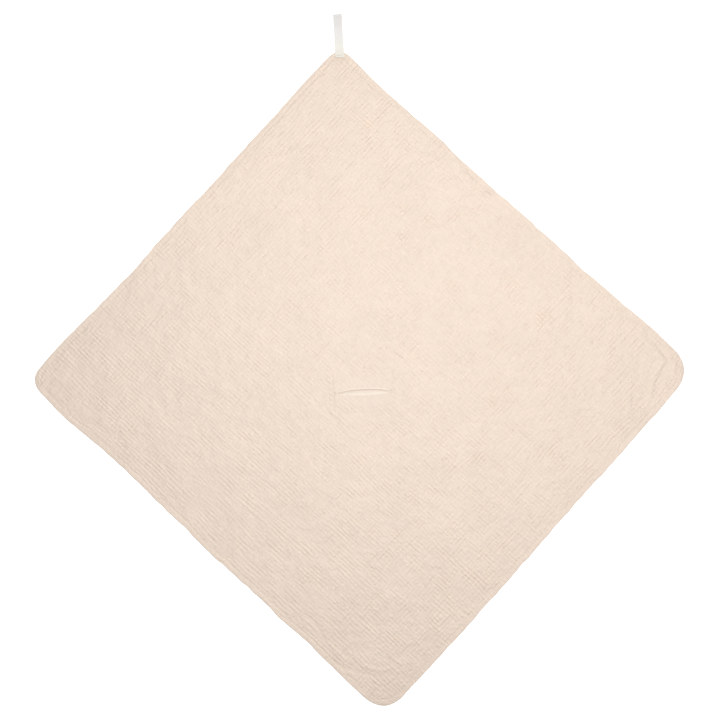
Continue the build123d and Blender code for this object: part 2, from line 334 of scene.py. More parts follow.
def outer_relief(x, y, from_edge):
    """Height of the outer muslin's top above its flat level, over a whole grid of the cloth."""

    def noise(seed, pitch, spread, direction=0.0, turn=None):
        return wrinkle_noise(seed, x.shape, OUTER_CELL, pitch * MM, spread, direction, turn)

    # Patches where one set of ribs is stronger than the other.
    towards_left = smooth_step(-0.7 * x - 0.7 * y, -250 * MM, 300 * MM)
    patches = 1 / (1 + np.exp(-1.6 * noise(11, 55, 0.45) - 1.6 * towards_left + 0.4))
    vigour = 0.75 + 0.5 / (1 + np.exp(-1.5 * noise(12, 90, 0.5)))
    vigour *= 1.40 - 0.40 * smooth_step(-x, -150 * MM, 260 * MM)
    ribs_b = noise(1, 6.2, 0.16, ACROSS, 0.10) * (0.55 + 0.60 * patches)
    ribs_a = noise(2, 6.6, 0.22, 0.0, 0.13) * (1.00 - 0.40 * patches)
    puckers = noise(4, 9.0, 0.45)
    fine = noise(5, 4.2, 0.25, ACROSS, 0.35)
    crinkle = 0.25 * ribs_b + 0.29 * ribs_a + 0.17 * puckers + 0.06 * fine
    # The long creases are broken here and there.
    for seed, pitch, direction, strength in CREASE_NETS:
        line = np.exp(-((noise(seed, pitch, 0.45, direction, 0.07) / 0.30) ** 2))
        broken = smooth_step(noise(seed + 50, 38, 0.5), -0.9, 0.9)
        crinkle = crinkle - strength * line * broken
    waves = 0.35 * noise(6, 75, 0.5) + 0.25 * noise(7, 30, 0.4)

    edge_calm = smooth_step(from_edge, 0, 14 * MM) * 0.5 + 0.5
    # The stitched box holds the cloth calmer, from a little above its lower row.
    calm_low = BOX_LOW + (0, 8 * MM, 0)
    in_box = smooth_step(inside_box(x, y, calm_low, BOX_HIGH), -2 * MM, 4 * MM)
    height = crinkle * vigour * edge_calm * (1 - 0.62 * in_box) + waves * (1 - 0.8 * in_box)
    height = height * MM

    # The turned edge: a padded hem, the groove of the topstitching and the puckers it pulls.
    groove = np.exp(-(((from_edge - TOPSTITCH_INSET) / GROOVE_WIDTH) ** 2))
    hem = np.sin(math.pi * np.clip(from_edge / TOPSTITCH_INSET, 0, 1))
    pull = np.exp(-(((from_edge - TOPSTITCH_INSET) / PUCKER_WIDTH) ** 2))
    hem_puckers = noise(8, 8.0, 0.3) * pull
    height += (0.42 * hem - 0.75 * groove + 0.26 * hem_puckers) * MM

    # The stitched box around the slit.
    box_edge = inside_box(x, y, BOX_LOW, BOX_HIGH)
    height -= 0.35 * MM * np.exp(-((box_edge / BOX_GROOVE_WIDTH) ** 2))
    for route, width, rise in CREASES:
        height += crease(x, y, route, width, CREASE_GAIN * rise)
    # However deep a groove is, it doesn't reach through to the floor.
    too_deep = np.clip(-DEEP_FROM - height, 0, None)
    return np.maximum(height, -DEEP_FROM) - DEEP_ROOM * np.tanh(too_deep / DEEP_ROOM)


def hood_rise(x, y, from_edge):
    """How far the cloth is lifted where the hood lies under it; the seam pinches it at the edge."""
    lift = HOOD_LIFT * smooth_step(behind_hood_edge(x, y), -5 * MM, 6 * MM)
    return lift * (0.4 + 0.6 * smooth_step(from_edge, 0, 16 * MM))


# ==== Meshes ====
def new_object(name, points, faces, uv=None, normals=None, smooth=True):
    """A mesh object from arrays. faces is an array of quads or a list of index tuples."""
    mesh = bpy.data.meshes.new(name)
    if isinstance(faces, np.ndarray):
        sides = faces.shape[1]
        mesh.vertices.add(len(points))
        mesh.vertices.foreach_set("co", np.ascontiguousarray(points, np.float32).ravel())
        mesh.loops.add(faces.size)
        mesh.loops.foreach_set("vertex_index", np.ascontiguousarray(faces, np.int32).ravel())
        mesh.polygons.add(len(faces))
        mesh.polygons.foreach_set("loop_start", np.arange(0, faces.size, sides, dtype=np.int32))
        mesh.update(calc_edges=True)
    else:
        mesh.from_pydata([tuple(p) for p in points], [], faces)
    mesh.polygons.foreach_set("use_smooth", np.full(len(mesh.polygons), smooth))
    if uv is not None:
        layer = mesh.uv_layers.new(name="Cloth")
        loops = np.zeros(len(mesh.loops), np.int32)
        mesh.loops.foreach_get("vertex_index", loops)
        layer.data.foreach_set("uv", np.ascontiguousarray(uv[loops], np.float32).ravel())
    if normals is not None:
        mesh.normals_split_custom_set_from_vertices(normals.tolist())
    obj = bpy.data.objects.new(name, mesh)
    bpy.context.scene.collection.objects.link(obj)
    return obj


def vertex_normals(points, quads):
    """Smooth normals of a whole sheet, so that the pieces cut from it join without a line."""
    p0, p1, p2, p3 = (points[quads[:, k]] for k in range(4))
    face_normal = np.cross(p2 - p0, p3 - p1)
    normals = np.zeros_like(points)
    for k in range(4):
        for axis in range(3):
            normals[:, axis] += np.bincount(
                quads[:, k], weights=face_normal[:, axis], minlength=len(points)
            )
    return normals / np.maximum(np.linalg.norm(normals, axis=1, keepdims=True), 1e-12)


def grid_quads(rows, columns, ringed=False):
    """Faces of a grid of points, row by row. Where it is ringed, each row closes on itself."""
    r, c = np.indices((rows - 1, columns if ringed else columns - 1)).reshape(2, -1)
    this, following = r * columns, (r + 1) * columns
    beside = (c + 1) % columns
    return np.column_stack((this + c, this + beside, following + beside, following + c))


def only_used(quads):
    """The points that faces use, and the faces numbered by those points alone."""
    used, renumbered = np.unique(quads, return_inverse=True)
    return used, renumbered.reshape(quads.shape)


def read_grid(field, share_a, share_b):
    """Values of a field kept on a grid, at shares of its width and height."""
    rows, columns = field.shape[:2]
    column = np.clip(share_a, 0, 0.99999) * (columns - 1)
    row = np.clip(share_b, 0, 0.99999) * (rows - 1)
    c0, r0 = column.astype(int), row.astype(int)
    fc, fr = column - c0, row - r0
    if field.ndim == 3:
        fc, fr = fc[..., None], fr[..., None]
    low = field[r0, c0] * (1 - fc) + field[r0, c0 + 1] * fc
    high = field[r0 + 1, c0] * (1 - fc) + field[r0 + 1, c0 + 1] * fc
    return low * (1 - fr) + high * fr


# Where the quarters part: each line ends on a side of the cloth between two folds.
PART_A = 0.507
PART_B = {"left side": 0.474, "right side": 0.487}
MIDDLE_HALF = 88 * MM
MIDDLE = 4  # the middle's number, after the quarters' 0 to 3


class Sheet:
    """A layer of the whole cloth on one grid, with a rounded rim, to be cut into its pieces."""

    def __init__(self, cell, height, rim_turns, rim_middle, faces_up):
        self.columns = int(round(LENGTH_A / cell))
        self.rows = int(round(LENGTH_B / cell))
        line_a = np.linspace(INSET_A, 1 - INSET_A, self.columns + 1)
        line_b = np.linspace(INSET_B, 1 - INSET_B, self.rows + 1)
        self.a, self.b = np.meshgrid(line_a, line_b)
        plan = place(self.a, self.b) + edge_drift(self.a, self.b)
        z = height(plan[..., 0], plan[..., 1], edge_distance(self.a, self.b))
        self.surface = np.dstack((plan, z))
        self._add_rim(rim_turns, rim_middle)
        self._make_faces(faces_up)
        self.normals = vertex_normals(self.points, self.quads)

    def _add_rim(self, turns, middle):
        """Rows of points that roll the edge over towards the middle of the cloth's thickness."""
        rows, columns = self.rows, self.columns
        walk = (
            [(0, c) for c in range(columns)]
            + [(r, columns) for r in range(rows)]
            + [(rows, c) for c in range(columns, 0, -1)]
            + [(r, 0) for r in range(rows, 0, -1)]
        )
        self.border = np.array(walk)
        border = tuple(self.border.T)
        edge = self.surface[border]
        along = (np.roll(edge, -3, axis=0) - np.roll(edge, 3, axis=0))[:, :2]
        outward = unit(np.column_stack((along[:, 1], -along[:, 0])))
        base_uv = np.column_stack((self.a[border] * LENGTH_A, self.b[border] * LENGTH_B))
        uv_out = unit(base_uv - np.array((LENGTH_A, LENGTH_B)) / 2)
        rise = hood_rise(edge[:, 0], edge[:, 1], np.zeros(len(edge)))
        mid_z = middle + rise * 0.5
        layers, uvs = [], []
        for turn in turns:
            angle = math.radians(turn)
            out = EDGE_ROUND * math.sin(angle)
            z = mid_z + (edge[:, 2] - mid_z) * math.cos(angle)
            layers.append(np.column_stack((edge[:, :2] + outward * out, z)))
            uvs.append(base_uv + uv_out * EDGE_ROUND * angle)
        flat_uv = np.column_stack((self.a.ravel() * LENGTH_A, self.b.ravel() * LENGTH_B))
        self.points = np.vstack([self.surface.reshape(-1, 3)] + layers)
        self.uv = np.vstack([flat_uv] + uvs)
        self.turns = len(turns)

    def _make_faces(self, faces_up):
        rows, columns = self.rows, self.columns
        row, column = np.indices((rows, columns)).reshape(2, -1)
        grid = grid_quads(rows + 1, columns + 1)
        centre = self.points[grid].mean(axis=1)
        open_slit = in_slit(centre[:, 0], centre[:, 1], 0.1 * MM)
        self._snap_to_slit(np.intersect1d(grid[open_slit], grid[~open_slit]))
        owner = self._owner(row, column)
        grid, owner = grid[~open_slit], owner[~open_slit]

        border = self.border[:, 0] * (columns + 1) + self.border[:, 1]
        count = len(border)
        first = (rows + 1) * (columns + 1)
        rings = [border] + [first + k * count + np.arange(count) for k in range(self.turns)]
        rim, rim_owner = [], []
        next_place = np.roll(self.border, -1, axis=0)
        cell_row = np.minimum(np.minimum(self.border[:, 0], next_place[:, 0]), rows - 1)
        cell_column = np.minimum(np.minimum(self.border[:, 1], next_place[:, 1]), columns - 1)
        edge_owner = self._owner(cell_row, cell_column)
        for inner, outer in zip(rings[:-1], rings[1:]):
            quad = (inner, outer, np.roll(outer, -1), np.roll(inner, -1))
            rim.append(np.column_stack(quad))
            rim_owner.append(edge_owner)
        self.quads = np.vstack([grid] + rim)
        self.owner = np.concatenate([owner] + rim_owner)
        self.grid_faces = len(grid)
        if not faces_up:
            self.quads = self.quads[:, ::-1].copy()

    def _snap_to_slit(self, border):
        """Moves the points around the opening onto its own outline."""
        x, y = self.points[border, 0], self.points[border, 1]
        low, high = slit_edges(x)
        self.points[border, 1] = np.where(high - y < y - low, high, low)

    def _owner(self, row, column):
        """The number of the piece that a face belongs to."""
        part_a = int(round(PART_A * self.columns))
        part_left = int(round(PART_B["left side"] * self.rows))
        part_right = int(round(PART_B["right side"] * self.rows))
        upper = np.where(column < part_a, row >= part_left, row >= part_right)
        right = column >= part_a
        owner = np.where(upper, np.where(right, 1, 0), np.where(right, 2, 3))
        half_columns = int(round(MIDDLE_HALF / LENGTH_A * self.columns))
        half_rows = int(round(MIDDLE_HALF / LENGTH_B * self.rows))
        middle_row = (part_left + part_right) // 2
        middle = (np.abs(column + 0.5 - part_a) < half_columns) & (
            np.abs(row + 0.5 - middle_row) < half_rows
        )
        return np.where(middle, MIDDLE, owner)

    def piece(self, name, which):
        """One piece of the sheet, and the flat area of the cloth that it was cut from."""
        quads = self.quads[self.owner == which]
        used, faces = only_used(quads)
        obj = new_object(name, self.points[used], faces, uv=self.uv[used], normals=self.normals[used])
        cells = int((self.owner[: self.grid_faces] == which).sum())
        area = cells * (LENGTH_A / self.columns) * (LENGTH_B / self.rows)
        return obj, area

    def sample(self, a, b):
        """Points on the sheet at cloth coordinates."""
        share_a, share_b = (a - INSET_A) / (1 - 2 * INSET_A), (b - INSET_B) / (1 - 2 * INSET_B)
        return read_grid(self.surface, share_a, share_b)


# How each side strays from a straight cut, as bumps: the place along it and a width, both as
# shares of the side, and how far the bump stands out in millimetres.
UPPER_LEFT_BUMPS = ((0.10, 0.08, 3.6), (0.33, 0.07, -2.4), (0.59, 0.04, -2.4), (0.90, 0.06, 1.5))
UPPER_RIGHT_BUMPS = (
    (0.03, 0.05, 4.0), (0.27, 0.05, 1.7), (0.40, 0.08, -1.4), (0.69, 0.04, -1.7), (0.88, 0.06, 2.8),
)
LOWER_RIGHT_BUMPS = (
    (0.12, 0.03, 1.8), (0.25, 0.09, 1.8), (0.60, 0.15, 1.8), (0.76, 0.05, 1.0), (0.94, 0.05, -1.5),
)
LOWER_LEFT_BUMPS = (
    (0.10, 0.05, 1.2), (0.22, 0.03, -1.2), (0.29, 0.03, 1.2),
    (0.48, 0.06, 2.5), (0.73, 0.06, -1.8), (0.90, 0.06, 4.5),
)
SIDES = (
    (LEFT_TIP, HOOD_TIP, UPPER_LEFT_BUMPS),
    (HOOD_TIP, RIGHT_TIP, UPPER_RIGHT_BUMPS),
    (RIGHT_TIP, FOOT_TIP, LOWER_RIGHT_BUMPS),
    (FOOT_TIP, LEFT_TIP, LOWER_LEFT_BUMPS),
)
# A fine waver on top, the same on each side, as cycles, a phase and millimetres.
FINE_WAVER = ((9.0, 4.0, 0.35), (17.0, 1.0, 0.35), (29.0, 3.3, 0.30))
DRIFT_REACH = 35 * MM


def edge_drift(a, b):
    """How far the cloth strays in plan from its straight cut; the straying dies away inside."""
    drift = np.zeros(a.shape + (2,))
    along_and_away = ((b, a), (a, 1 - b), (1 - b, 1 - a), (1 - a, b))
    for (start, end, bumps), (along, away) in zip(SIDES, along_and_away):
        way = (end - start) / np.linalg.norm(end - start)
        out = np.zeros(a.shape)
        for middle, width, size in bumps:
            out += size * np.exp(-(((along - middle) / width) ** 2))
        for cycles, phase, size in FINE_WAVER:
            out += size * np.sin(2 * math.pi * cycles * along + phase) * np.sin(math.pi * along)
        out *= MM * np.exp(-away * (LENGTH_A + LENGTH_B) / 2 / DRIFT_REACH)
        drift += out[..., None] * np.array((-way[1], way[0]))
    return drift


def outer_height(x, y, from_edge):
    return FLAT_TOP - 0.2 * MM + outer_relief(x, y, from_edge) + hood_rise(x, y, from_edge)


def lining_height(x, y, from_edge):
    """The terry's underside, whose pile stands on the floor or on the hood."""
    loops = wrinkle_noise(21, x.shape, LINING_CELL, 5.5 * MM, 0.3)
    soft = wrinkle_noise(22, x.shape, LINING_CELL, 22 * MM, 0.5)
    relief = 0.16 * loops + 0.10 * soft
    groove = np.exp(-(((from_edge - TOPSTITCH_INSET) / (1.6 * MM)) ** 2))
    base = np.clip(0.55 + relief, 0.1, None) * MM + 0.5 * MM * groove
    return base + hood_rise(x, y, from_edge)


outer = Sheet(OUTER_CELL, outer_height, (30, 60, 90, 112), 1.5 * MM, True)
lining = Sheet(LINING_CELL, lining_height, (30, 60, 84), 1.6 * MM, False)


# ==== Materials ====
def srgb(red, green, blue):
    """A colour given as the eye sees it, 0 to 255, as the shader's linear numbers."""
    channels = []
    for value in (red, green, blue):
        value = value / 255
        channels.append(value / 12.92 if value <= 0.04045 else ((value + 0.055) / 1.055) ** 2.4)
    return (*channels, 1.0)


class Nodes:
    """Builds one material's node tree, in which lengths are millimetres along the cloth."""

    def __init__(self, name, roughness, sheen):
        self.material = bpy.data.materials.new(name)
        self.material.use_nodes = True
        self.tree = self.material.node_tree
        self.shader = self.tree.nodes["Principled BSDF"]
        self.shader.inputs["Roughness"].default_value = roughness
        self.shader.inputs["Specular IOR Level"].default_value = 0.25
        self.shader.inputs["Sheen Weight"].default_value = sheen
        self.shader.inputs["Sheen Roughness"].default_value = 0.6
        uv = self.add("ShaderNodeUVMap", uv_map="Cloth")
        scale = {0: uv, "Scale": 1 / MM}
        self.cloth = self.add("ShaderNodeVectorMath", scale, operation="SCALE")

    def add(self, kind, inputs=None, **settings):
        node = self.tree.nodes.new(kind)
        for key, value in settings.items():
            setattr(node, key, value)
        for key, value in (inputs or {}).items():
            if hasattr(value, "outputs"):
                value = value.outputs[0]
            if isinstance(value, bpy.types.NodeSocket):
                self.tree.links.new(value, node.inputs[key])
            else:
                node.inputs[key].default_value = value
        return node

    def maths(self, operation, *values):
        return self.add("ShaderNodeMath", dict(enumerate(values)), operation=operation)

    def sum(self, *terms):
        """Adds up (node, weight) pairs."""
        total = None
        for node, weight in terms:
            term = self.maths("MULTIPLY", node, weight)
            total = term if total is None else self.maths("ADD", total, term)
        return total

    def noise(self, pitch, stretch=(1, 1), turn=0.0, detail=2.0, roughness=0.5):
        """Noise about zero, in patches of a pitch in mm, stretched along the cloth's directions."""
        mapping = self.add(
            "ShaderNodeMapping",
            {
                "Vector": self.cloth,
                "Rotation": (0, 0, turn),
                "Scale": (1 / (pitch * stretch[0]), 1 / (pitch * stretch[1]), 1),
            },
        )
        values = {"Vector": mapping, "Scale": 1.0, "Detail": detail, "Roughness": roughness}
        noise = self.add("ShaderNodeTexNoise", values, noise_dimensions="2D")
        return self.maths("SUBTRACT", noise, 0.5)

    def threads(self, pitch, turn, ragged=0.6):
        """Parallel rounded threads, from -1 to 1 across each; they wander a little."""
        mapping = self.add("ShaderNodeMapping", {"Vector": self.cloth, "Rotation": (0, 0, turn)})
        values = {
            "Vector": mapping,
            "Scale": math.pi / (10 * pitch),
            "Distortion": ragged,
            "Detail": 2.0,
            "Detail Scale": 1.5,
        }
        wave = self.add("ShaderNodeTexWave", values, wave_type="BANDS", bands_direction="X")
        return self.sum((self.maths("SUBTRACT", wave, 0.5), 2.0))

    def finish(self, colour, tone, height, depth, marked_colour=None):
        """Colours the shader with colour, lightened by tone (a small share), and bumps it by height.
        marked_colour takes its place where the mesh's Mark attribute is 1."""
        factor = self.maths("ADD", tone, 1.0)
        base = self.add("ShaderNodeRGB")
        base.outputs[0].default_value = colour
        if marked_colour is not None:
            mark = self.add("ShaderNodeAttribute", attribute_name="Mark")
            share = mark.outputs["Fac"]
            # 0, 6 and 7 are the factor and the two colours, and output 2 is the mixed colour.
            mix = self.add("ShaderNodeMix", {0: share, 6: base, 7: marked_colour}, data_type="RGBA")
            base = mix.outputs[2]
        shade = self.add("ShaderNodeVectorMath", {0: base, "Scale": factor}, operation="SCALE")
        self.tree.links.new(shade.outputs[0], self.shader.inputs["Base Color"])
        values = {"Height": height, "Strength": 1.0, "Distance": depth * MM}
        bump = self.add("ShaderNodeBump", values)
        self.tree.links.new(bump.outputs[0], self.shader.inputs["Normal"])
        return self.material


def muslin(name, colour, marked_colour=None):
    """Two layers of gauze, crinkled: fine threads each way, slubs, and scratchy creases."""
    nodes = Nodes(name, 0.95, 0.12)
    across, along = nodes.threads(0.75, 0.0), nodes.threads(0.75, math.pi / 2)
    weave = nodes.maths("MAXIMUM", across, along)
    slub_a = nodes.noise(0.8, (1, 22), detail=1.0)
    slub_b = nodes.noise(0.8, (22, 1), detail=1.0)
    scratch_a = nodes.noise(2.6, (1, 7), turn=0.05)
    scratch_b = nodes.noise(2.4, (9, 1), turn=-0.04)
    fibre = nodes.noise(0.5, detail=3.0)
    cloud = nodes.noise(70, detail=3.0)
    tone = nodes.sum(
        (weave, 0.012), (slub_a, 0.06), (slub_b, 0.06), (scratch_a, 0.07), (scratch_b, 0.08),
        (fibre, 0.05), (cloud, 0.07),
    )
    height = nodes.sum(
        (weave, 0.35), (slub_a, 0.9), (slub_b, 0.9), (scratch_a, 2.2), (scratch_b, 2.6), (fibre, 0.6)
    )
    return nodes.finish(colour, tone, height, 0.16, marked_colour)


def terry(name, colour):
    """Short loops of cotton pile, with painted shade darker down between them."""
    nodes = Nodes(name, 1.0, 0.25)
    warp = nodes.noise(3.0, detail=2.0)
    shifted = nodes.add("ShaderNodeVectorMath", {0: nodes.cloth, 1: warp}, operation="ADD")
    loops = nodes.add(
        "ShaderNodeTexVoronoi",
        {"Vector": shifted, "Scale": 0.62, "Smoothness": 0.35, "Randomness": 0.9},
        voronoi_dimensions="2D",
        feature="SMOOTH_F1",
    )
    mound = nodes.maths("SUBTRACT", 0.55, loops)
    twist = nodes.noise(0.35, (1, 2.5), turn=0.8, detail=2.0)
    nap = nodes.noise(14, detail=3.0)
    # The mound's share of the tone is painted shade, darkest where the loops part.
    tone = nodes.sum((mound, 0.30), (twist, 0.16), (nap, 0.09))
    height = nodes.sum((mound, 1.0), (twist, 0.35))
    return nodes.finish(colour, tone, height, 0.9)


def tape_cloth(name, colour, pitch, depth, slant, marked_colour=None):
    """A firm woven tape or binding with a slanted rib and close threads."""
    nodes = Nodes(name, 0.75, 0.1)
    twill = nodes.threads(pitch, slant, ragged=0.15)
    ends = nodes.threads(pitch * 0.6, 0.0, ragged=0.1)
    slub = nodes.noise(0.6, (1, 14), detail=1.0)
    cloud = nodes.noise(9, detail=2.0)
    tone = nodes.sum((twill, 0.025), (ends, 0.012), (slub, 0.05), (cloud, 0.04))
    height = nodes.sum((twill, 0.6), (ends, 0.4), (slub, 0.5))
    return nodes.finish(colour, tone, height, depth, marked_colour)


def sewing_thread(name, colour):
    """Twisted cotton thread: slanted plies."""
    nodes = Nodes(name, 0.6, 0.15)
    plies = nodes.threads(0.45, 0.9, ragged=0.2)
    fuzz = nodes.noise(0.3, detail=2.0)
    tone = nodes.sum((plies, 0.05), (fuzz, 0.08))
    height = nodes.sum((plies, 0.8), (fuzz, 0.4))
    return nodes.finish(colour, tone, height, 0.08)


MATERIALS = {
    "outer_muslin": muslin("crinkled_muslin", srgb(230, 213, 198), srgb(230, 214, 199)),
    "facing_muslin": muslin("facing_muslin", srgb(230, 217, 201)),
    # The lips' second colour is a painted highlight along the crest of each roll.
    "lip_cotton": tape_cloth(
        "slit_lip_cotton", srgb(230, 214, 199), 0.8, 0.08, math.pi / 4, srgb(239, 227, 213)
    ),
    "terry_lining": terry("terry_pile", srgb(230, 215, 199)),
    "hood_muslin": muslin("hood_muslin", srgb(230, 213, 197)),
    "binding": tape_cloth("cotton_binding", srgb(229, 213, 197), 0.7, 0.12, math.pi / 4),
    "tape": tape_cloth("twill_tape", srgb(232, 229, 226), 1.1, 0.14, 0.6, srgb(234, 231, 222)),
    "thread": sewing_thread("cotton_thread", srgb(231, 217, 201)),
    "tape_thread": sewing_thread("tape_thread", srgb(234, 230, 219)),
}


def dress(obj, material, body=None):
    """Gives a piece its material, its slot and, where it doesn't bend, the body it rides on."""
    obj.data.materials.append(MATERIALS[material])
    if body is not None:
        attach(obj, body)
    return obj


def fold_with_corner(piece):
    """Bakes a quarter's placement into its own points."""
    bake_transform(piece)


def quarter_size(sheet, which):
    """Width and length of the rectangle that a quarter, or the middle, was cut from."""
    if which == MIDDLE:
        return 2 * MIDDLE_HALF, 2 * MIDDLE_HALF
    on_left = which in (0, 3)
    side = "left side" if on_left else "right side"
    part_a = int(round(PART_A * sheet.columns)) / sheet.columns * LENGTH_A
    part_b = int(round(PART_B[side] * sheet.rows)) / sheet.rows * LENGTH_B
    width = part_a if on_left else LENGTH_A - part_a
    length = LENGTH_B - part_b if which in (0, 1) else part_b
    return width, length


def make_layer(sheet, layer, material):
    """Cuts a sheet into four quarters and a middle; gives each with its flat area and size."""
    pieces = {}
    for which, quarter in enumerate(QUARTERS):
        piece, area = sheet.piece(f"{layer}_quarter_{quarter}", which)
        dress(piece, material)
        fold_with_corner(piece)
        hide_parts(f"{layer}_{quarter}_corner")
        pieces[quarter] = (piece, area, quarter_size(sheet, which))
    piece, area = sheet.piece(f"{layer}_middle", MIDDLE)
    dress(piece, material, "centre")
    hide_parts(f"{layer}_centre")
    pieces["middle"] = (piece, area, quarter_size(sheet, MIDDLE))
    return pieces


outer_pieces = make_layer(outer, "outer", "outer_muslin")
lining_pieces = make_layer(lining, "lining", "terry_lining")


def mark_points(piece, marks):
    """Sets how far each point of a piece takes its material's second colour."""
    layer = piece.data.attributes.new("Mark", "FLOAT", "POINT")
    layer.data.foreach_set("value", np.ascontiguousarray(marks, np.float32).ravel())


def mark_facing(piece):
    """How much of the slit's facing shows through the muslin at each point."""
    points = np.zeros(len(piece.data.vertices) * 3, np.float32)
    piece.data.vertices.foreach_get("co", points)
    x, y = points[0::3], points[1::3]
    # It shows from the stitched box's lower row to a little short of its upper row.
    inside = inside_box(x, y, BOX_LOW, BOX_HIGH - (0, 8 * MM, 0))
    near_slit = 1 - smooth_step(np.abs(y - SLIT_Y), 8 * MM, 30 * MM)
    mark_points(piece, smooth_step(inside, -1 * MM, 5 * MM) * (0.35 + 0.65 * near_slit))


mark_facing(outer_pieces["middle"][0])


# ==== Threads ====
STITCH_LENGTH = 3.1 * MM
STITCH_STEP = 4.0 * MM
THREAD_RADIUS = 0.30 * MM
# A stitch from end to end: the place as a share of its length, its thickness and its lift.
STITCH_PROFILE = ((-0.5, 0.30, -0.5), (-0.36, 0.85, 0.2), (-0.12, 1.0, 0.75),
                  (0.12, 1.0, 0.75), (0.36, 0.85, 0.2), (0.5, 0.30, -0.5))
THREAD_SIDES = 6
THREAD_SUNK = 0.05 * MM


def stitches(name, middles, ways, length, radius=THREAD_RADIUS, bow=1.0):
    """One mesh of short bowed threads: their middles, the ways they point and their length."""
    middles, ways = np.asarray(middles, float), unit(np.asarray(ways, float))
    side = unit(np.column_stack((-ways[:, 1], ways[:, 0], np.zeros(len(ways)))))
    up = np.cross(ways, side)
    rings, uvs = [], []
    angles = np.arange(THREAD_SIDES) * 2 * math.pi / THREAD_SIDES
    for t, swell, lift in STITCH_PROFILE:
        centre = middles + ways * (t * length) + up * lift * bow * radius
        for angle in angles:
            turn = side * math.cos(angle) + up * math.sin(angle)
            rings.append(centre + turn * radius * swell)
            around = np.full(len(middles), radius * angle)
            # Each stitch takes its look from another place along the thread.
            uvs.append(np.column_stack((around, t * length + np.arange(len(middles)) * 7 * MM)))
    per_stitch = len(rings)
    points = np.stack(rings, axis=1).reshape(-1, 3)
    uv = np.stack(uvs, axis=1).reshape(-1, 2)
    pattern = []
    for ring in range(len(STITCH_PROFILE) - 1):
        for k in range(THREAD_SIDES):
            low, high = ring * THREAD_SIDES, (ring + 1) * THREAD_SIDES
            follow = (k + 1) % THREAD_SIDES
            pattern.append((low + k, low + follow, high + follow, high + k))
    # Both ends are closed by two quads each.
    last = per_stitch - THREAD_SIDES
    pattern += [(0, 5, 4, 3), (0, 3, 2, 1), (last, last + 1, last + 2, last + 3)]
    pattern.append((last, last + 3, last + 4, last + 5))
    offsets = np.arange(len(middles)) * per_stitch
    faces = (np.array(pattern)[None, :, :] + offsets[:, None, None]).reshape(-1, 4)
    return new_object(name, points, faces, uv=uv)


def along_path(path, step):
    """Evenly spaced middles and directions along a polyline of plan points."""
    path = np.asarray(path, float)
    walked = distance_along(path)
    count = max(1, int(walked[-1] / step))
    places = (np.arange(count) + 0.5) * walked[-1] / count

    def at(distance):
        return np.column_stack([np.interp(distance, walked, axis) for axis in path.T])

    return at(places), at(places + step / 4) - at(places - step / 4)


def on_cloth(plan):
    """Points of the outer muslin's top at plan positions."""
    return outer.sample(*cloth_coordinates(plan))


def sewn_line(path, step, length):
    """A row of stitches along plan points: middles and directions on the cloth, middles in plan."""
    middles, ways = along_path(path, step)
    ways = unit(ways)
    points = on_cloth(middles)
    points[:, 2] -= THREAD_SUNK
    ahead, back = on_cloth(middles + ways * length / 2), on_cloth(middles - ways * length / 2)
    return points, ahead - back, middles


ARC_STEPS = 24


def inset_outline(inset):
    """The cloth's outline moved inwards, as plan points that run round from the hood corner."""
    turn = np.linspace(0, math.pi / 2, ARC_STEPS)
    a_parts, b_parts = [], []
    for index, (corner_a, corner_b, radius) in enumerate(CORNERS):
        angle = turn if index % 2 == 0 else math.pi / 2 - turn
        from_a = radius - (radius - inset) * np.cos(angle)
        from_b = radius - (radius - inset) * np.sin(angle)
        a_parts.append(np.abs(corner_a - from_a / LENGTH_A))
        b_parts.append(np.abs(corner_b - from_b / LENGTH_B))
    a = np.concatenate(a_parts + [a_parts[0][:1]])
    b = np.concatenate(b_parts + [b_parts[0][:1]])
    return bilinear(a, b)


stitch_points, stitch_ways, stitch_plan = sewn_line(
    inset_outline(TOPSTITCH_INSET), STITCH_STEP, STITCH_LENGTH
)
stitch_a, stitch_b = cloth_coordinates(stitch_plan)
stitch_quarter = np.select(
    [
        (stitch_a < PART_A) & (stitch_b >= PART_B["left side"]),
        (stitch_a >= PART_A) & (stitch_b >= PART_B["right side"]),
        stitch_a >= PART_A,
    ],
    [0, 1, 2],
    3,
)
topstitch_pieces = {}
for which, quarter in enumerate(QUARTERS):
    mine = stitch_quarter == which
    name = f"topstitch_quarter_{quarter}"
    piece = stitches(name, stitch_points[mine], stitch_ways[mine], STITCH_LENGTH)
    dress(piece, "thread")
    fold_with_corner(piece)
    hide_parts(f"topstitch_{quarter}_corner")
    topstitch_pieces[quarter] = piece
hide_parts("topstitch_centre")

# ==== The slit ====
BOX_INSET = 0.4 * MM
BOX_STITCH_STEP = 3.4 * MM
BOX_STITCH_LENGTH = 2.7 * MM
left, bottom = BOX_LOW[:2] + BOX_INSET
right, top = BOX_HIGH[:2] - BOX_INSET
box_path = ((left, bottom), (right, bottom), (right, top), (left, top), (left, bottom))
box_points, box_ways, _ = sewn_line(box_path, BOX_STITCH_STEP, BOX_STITCH_LENGTH)
box_stitch = stitches("slit_box_stitches", box_points, box_ways, BOX_STITCH_LENGTH, 0.26 * MM)
dress(box_stitch, "thread", "centre")
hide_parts("slit_box_stitch")


def swept(name, spine, outward, profiles, taper):
    """A strip along spine. Each of its points has a profile of (distance along outward, height)
    pairs, scaled there by taper."""
    walked = distance_along(spine)
    across = distance_along(profiles.mean(axis=0))
    rings = np.zeros(profiles.shape[:2] + (3,))
    taper = taper[:, None]
    away = (profiles[..., 0] * taper)[..., None]
    rings[..., :2] = spine[:, None, :2] + outward[:, None] * away
    rings[..., 2] = spine[:, 2:] + profiles[..., 1] * (0.35 + 0.65 * taper)
    uv = np.dstack(np.broadcast_arrays(walked[:, None], across[None, :])).reshape(-1, 2)
    return new_object(name, rings.reshape(-1, 3), grid_quads(*profiles.shape[:2]), uv=uv)


LIP_OVERRUN = 2.0 * MM  # past each end of the slit
